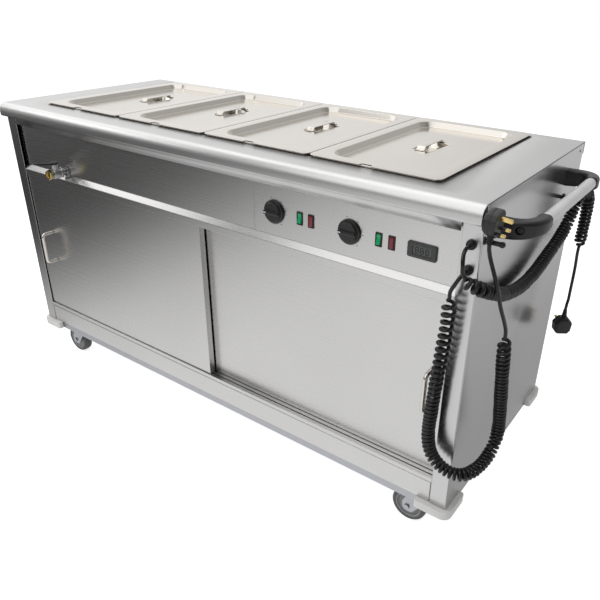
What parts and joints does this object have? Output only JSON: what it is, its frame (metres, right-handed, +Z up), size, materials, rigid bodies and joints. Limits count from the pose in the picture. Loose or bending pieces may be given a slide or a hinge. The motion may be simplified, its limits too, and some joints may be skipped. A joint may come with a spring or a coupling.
{
  "type": "mobile hot servery trolley",
  "caption": "Mobile stainless hot cupboard with a lidded wet bain-marie top, sliding doors, push handle, castors and two curly mains leads.",
  "frame": {"origin": "on the floor, under the middle of the box of the trolley without its leads and plugs", "axes": "+X along the trolley towards its push handle, +Y from the door side to the back, +Z up"},
  "size_m": [1.6498, 0.707, 0.9073],
  "materials": {
    "stainless_satin": "brushed",
    "stainless_polished": "polished",
    "zinc_plated_steel": "zinc plated",
    "castor_wheel": "matt rubber",
    "black_moulding": "satin",
    "display_grey": "satin",
    "green_lens": "gloss",
    "red_lens": "gloss",
    "white_buffer": "satin",
    "brass": "polished",
    "grey_tube": "satin",
    "lead_jacket": "satin"
  },
  "bodies": {
    "cabinet": {"worktop": "stainless_satin", "end_panel_left": "stainless_satin", "end_panel_right": "stainless_satin", "back_panel": "stainless_satin", "front_fascia": "stainless_satin", "control_panel": "stainless_satin", "header_rail": "stainless_satin", "base_tray": "stainless_satin", "cupboard_ceiling": "stainless_satin", "door_tracks": "stainless_satin", "shelf": "stainless_satin", "shelf_brackets": "stainless_satin", "bath": "stainless_satin", "pan_bars": "stainless_satin", "screws": "stainless_satin", "heaters": "stainless_satin", "chassis_frame": "zinc_plated_steel", "castor_plates": "zinc_plated_steel", "switch_housings": "black_moulding", "thermostats": "black_moulding", "handle_brackets": "black_moulding", "lead_hooks": "black_moulding", "glands": "black_moulding", "plug_a": "black_moulding", "plug_b": "black_moulding", "display": "display_grey", "neon_lamps": "red_lens", "bumpers": "white_buffer", "plug_a_pins": "brass", "plug_b_pins": "brass", "tap_body": "brass", "drain_pipe": "brass", "push_tube": "grey_tube", "lead_a": "lead_jacket", "lead_b": "lead_jacket"},
    "left_door": {"door_left": "stainless_satin", "door_handle_left": "stainless_polished"},
    "right_door": {"door_right": "stainless_satin", "door_handle_right": "stainless_polished"},
    "left_knob": {"knob_left": "black_moulding"},
    "right_knob": {"knob_right": "black_moulding"},
    "left_rocker": {"rocker_left": "green_lens"},
    "right_rocker": {"rocker_right": "green_lens"},
    "lever": {"tap_lever": "black_moulding"},
    "pan_1_body": {"pan_1": "stainless_polished"},
    "lid_1_body": {"lid_1": "stainless_polished"},
    "pan_2_body": {"pan_2": "stainless_polished"},
    "lid_2_body": {"lid_2": "stainless_polished"},
    "pan_3_body": {"pan_3": "stainless_polished"},
    "lid_3_body": {"lid_3": "stainless_polished"},
    "pan_4_body": {"pan_4": "stainless_polished"},
    "lid_4_body": {"lid_4": "stainless_polished"},
    "fork_1": {"castor_fork_1": "zinc_plated_steel"},
    "wheel_1": {"castor_wheel_1": "castor_wheel"},
    "fork_2": {"castor_fork_2": "zinc_plated_steel"},
    "wheel_2": {"castor_wheel_2": "castor_wheel"},
    "fork_3": {"castor_fork_3": "zinc_plated_steel"},
    "wheel_3": {"castor_wheel_3": "castor_wheel"},
    "fork_4": {"castor_fork_4": "zinc_plated_steel"},
    "wheel_4": {"castor_wheel_4": "castor_wheel"}
  },
  "joints": [
    {"name": "left_door_slide", "type": "slide", "parent": "cabinet", "child": "left_door", "axis": [1, 0, 0], "range_m": [0, 0.32]},
    {"name": "right_door_slide", "type": "slide", "parent": "cabinet", "child": "right_door", "axis": [-1, 0, 0], "range_m": [0, 0.32]},
    {"name": "left_knob_turn", "type": "hinge", "parent": "cabinet", "child": "left_knob", "pos_m": [0.23955, -0.2635, 0.7756], "axis": [0, -1, 0], "range_deg": [-270, 0]},
    {"name": "right_knob_turn", "type": "hinge", "parent": "cabinet", "child": "right_knob", "pos_m": [0.44605, -0.2635, 0.7756], "axis": [0, -1, 0], "range_deg": [-270, 0]},
    {"name": "left_rocker_tip", "type": "hinge", "parent": "cabinet", "child": "left_rocker", "pos_m": [0.31295, -0.2605, 0.7756], "axis": [1, 0, 0], "range_deg": [0, 16]},
    {"name": "right_rocker_tip", "type": "hinge", "parent": "cabinet", "child": "right_rocker", "pos_m": [0.51845, -0.2605, 0.7756], "axis": [1, 0, 0], "range_deg": [0, 16]},
    {"name": "tap_lever_turn", "type": "hinge", "parent": "cabinet", "child": "lever", "pos_m": [-0.57175, -0.2935, 0.7265], "axis": [0, 0, 1], "range_deg": [0, 90]},
    {"name": "castor_1_swivel", "type": "hinge", "parent": "cabinet", "child": "fork_1", "pos_m": [-0.72775, -0.1925, 0.048], "axis": [0, 0, 1], "continuous": true},
    {"name": "castor_1_roll", "type": "hinge", "parent": "fork_1", "child": "wheel_1", "pos_m": [-0.76975, -0.1925, 0.048], "axis": [0, 1, 0], "continuous": true},
    {"name": "castor_2_swivel", "type": "hinge", "parent": "cabinet", "child": "fork_2", "pos_m": [-0.72775, 0.2595, 0.048], "axis": [0, 0, 1], "continuous": true},
    {"name": "castor_2_roll", "type": "hinge", "parent": "fork_2", "child": "wheel_2", "pos_m": [-0.76975, 0.2595, 0.048], "axis": [0, 1, 0], "continuous": true},
    {"name": "castor_3_swivel", "type": "hinge", "parent": "cabinet", "child": "fork_3", "pos_m": [0.66025, -0.1925, 0.048], "axis": [0, 0, 1], "continuous": true},
    {"name": "castor_3_roll", "type": "hinge", "parent": "fork_3", "child": "wheel_3", "pos_m": [0.61825, -0.1925, 0.048], "axis": [0, 1, 0], "continuous": true},
    {"name": "castor_4_swivel", "type": "hinge", "parent": "cabinet", "child": "fork_4", "pos_m": [0.66025, 0.2595, 0.048], "axis": [0, 0, 1], "continuous": true},
    {"name": "castor_4_roll", "type": "hinge", "parent": "fork_4", "child": "wheel_4", "pos_m": [0.61825, 0.2595, 0.048], "axis": [0, 1, 0], "continuous": true},
    {"name": "pan_1_lift", "type": "slide", "parent": "cabinet", "child": "pan_1_body", "axis": [0, 0, 1], "range_m": [0, 0.2]},
    {"name": "lid_1_lift", "type": "slide", "parent": "pan_1_body", "child": "lid_1_body", "axis": [0, 0, 1], "range_m": [0, 0.2]},
    {"name": "pan_2_lift", "type": "slide", "parent": "cabinet", "child": "pan_2_body", "axis": [0, 0, 1], "range_m": [0, 0.2]},
    {"name": "lid_2_lift", "type": "slide", "parent": "pan_2_body", "child": "lid_2_body", "axis": [0, 0, 1], "range_m": [0, 0.2]},
    {"name": "pan_3_lift", "type": "slide", "parent": "cabinet", "child": "pan_3_body", "axis": [0, 0, 1], "range_m": [0, 0.2]},
    {"name": "lid_3_lift", "type": "slide", "parent": "pan_3_body", "child": "lid_3_body", "axis": [0, 0, 1], "range_m": [0, 0.2]},
    {"name": "pan_4_lift", "type": "slide", "parent": "cabinet", "child": "pan_4_body", "axis": [0, 0, 1], "range_m": [0, 0.2]},
    {"name": "lid_4_lift", "type": "slide", "parent": "pan_4_body", "child": "lid_4_body", "axis": [0, 0, 1], "range_m": [0, 0.2]}
  ]
}
